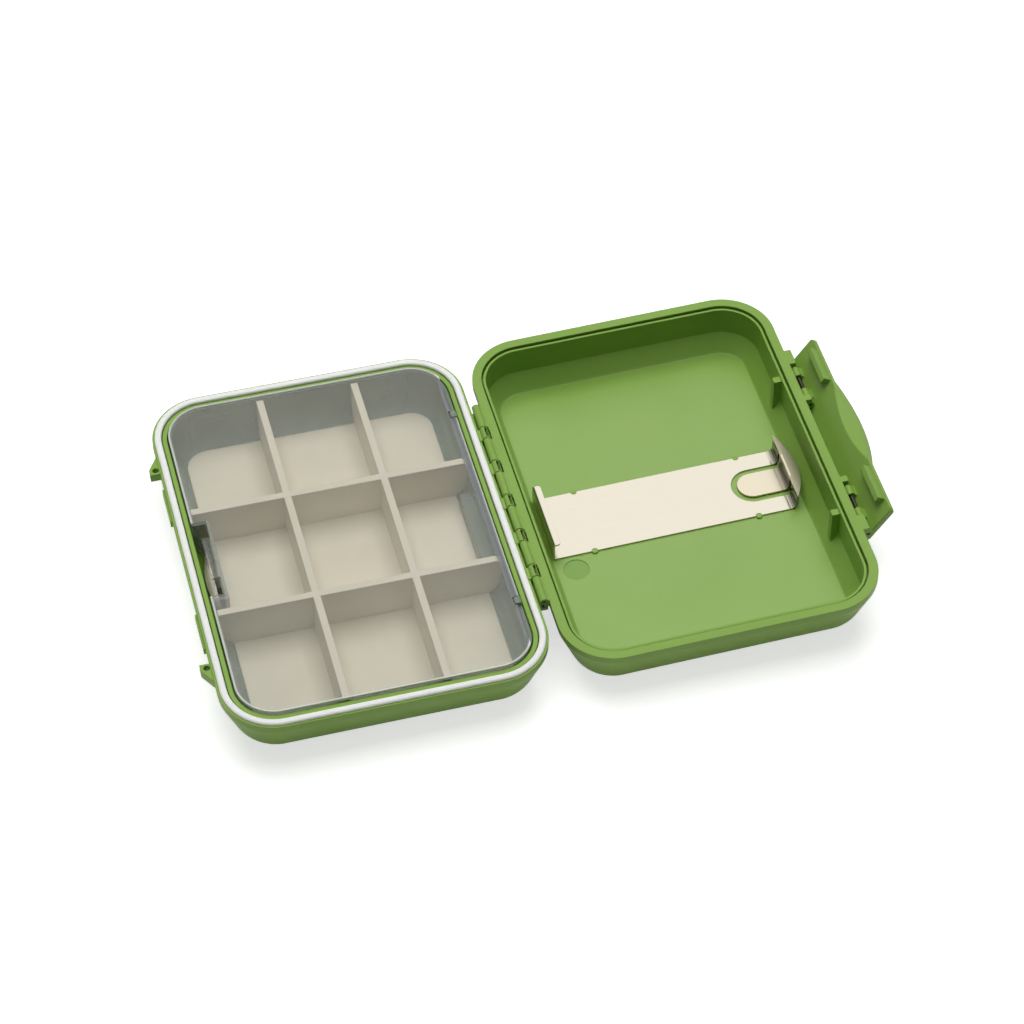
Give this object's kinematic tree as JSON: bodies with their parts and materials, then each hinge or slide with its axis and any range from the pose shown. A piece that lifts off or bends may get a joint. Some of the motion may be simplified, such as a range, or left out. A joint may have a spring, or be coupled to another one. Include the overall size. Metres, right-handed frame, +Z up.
{
  "type": "fly box",
  "caption": "Pocket case with a hinged lid, sealed rim, wide lever latch, sheet-metal straps and a lift-out divided insert under a clear hinged cover.",
  "frame": {"origin": "middle of the flat underside of the base", "axes": "+X from the base across the hinge to the lid, +Y along the hinge line, +Z up out of the open base"},
  "size_m": [0.1895, 0.1168, 0.0232],
  "materials": {
    "case_green": "satin moulded",
    "seal_white": "matte",
    "pin_steel": "drawn wire",
    "stainless": "brushed sheet",
    "smoke_clear": "polished clear",
    "tray_cream": "satin moulded"
  },
  "bodies": {
    "base": {"base_shell": "case_green", "seal_ring": "seal_white", "lid_hinge_pin": "pin_steel", "base_plate": "stainless"},
    "lid": {"lid_shell": "case_green", "lid_plate": "stainless", "latch_pin_rear": "pin_steel", "latch_pin_front": "pin_steel"},
    "latch": {"latch_lever": "case_green"},
    "ejector": {"lid_ejector": "stainless"},
    "insert": {"insert_box": "smoke_clear", "divider_tray": "tray_cream"},
    "cover": {"insert_cover": "smoke_clear"}
  },
  "joints": [
    {"name": "lid_hinge", "type": "hinge", "parent": "base", "child": "lid", "pos_m": [0.04475, 0, 0.0164], "axis": [0, -1, 0], "range_deg": [0, 178.53]},
    {"name": "latch_pivot", "type": "hinge", "parent": "lid", "child": "latch", "pos_m": [0.13425, 0, 0.0157], "axis": [0, -1, 0], "range_deg": [0, 34]},
    {"name": "insert_lift", "type": "slide", "parent": "base", "child": "insert", "axis": [0, 0, 1], "range_m": [0, 0.045]},
    {"name": "cover_hinge", "type": "hinge", "parent": "insert", "child": "cover", "pos_m": [0.038, 0, 0.0167], "axis": [0, 1, 0], "range_deg": [0, 100]},
    {"name": "ejector_press", "type": "hinge", "parent": "lid", "child": "ejector", "pos_m": [0.1226, 0, 0.0097], "axis": [0, 1, 0], "range_deg": [0, 10], "stiffness_Nm_per_rad": 0.06}
  ]
}
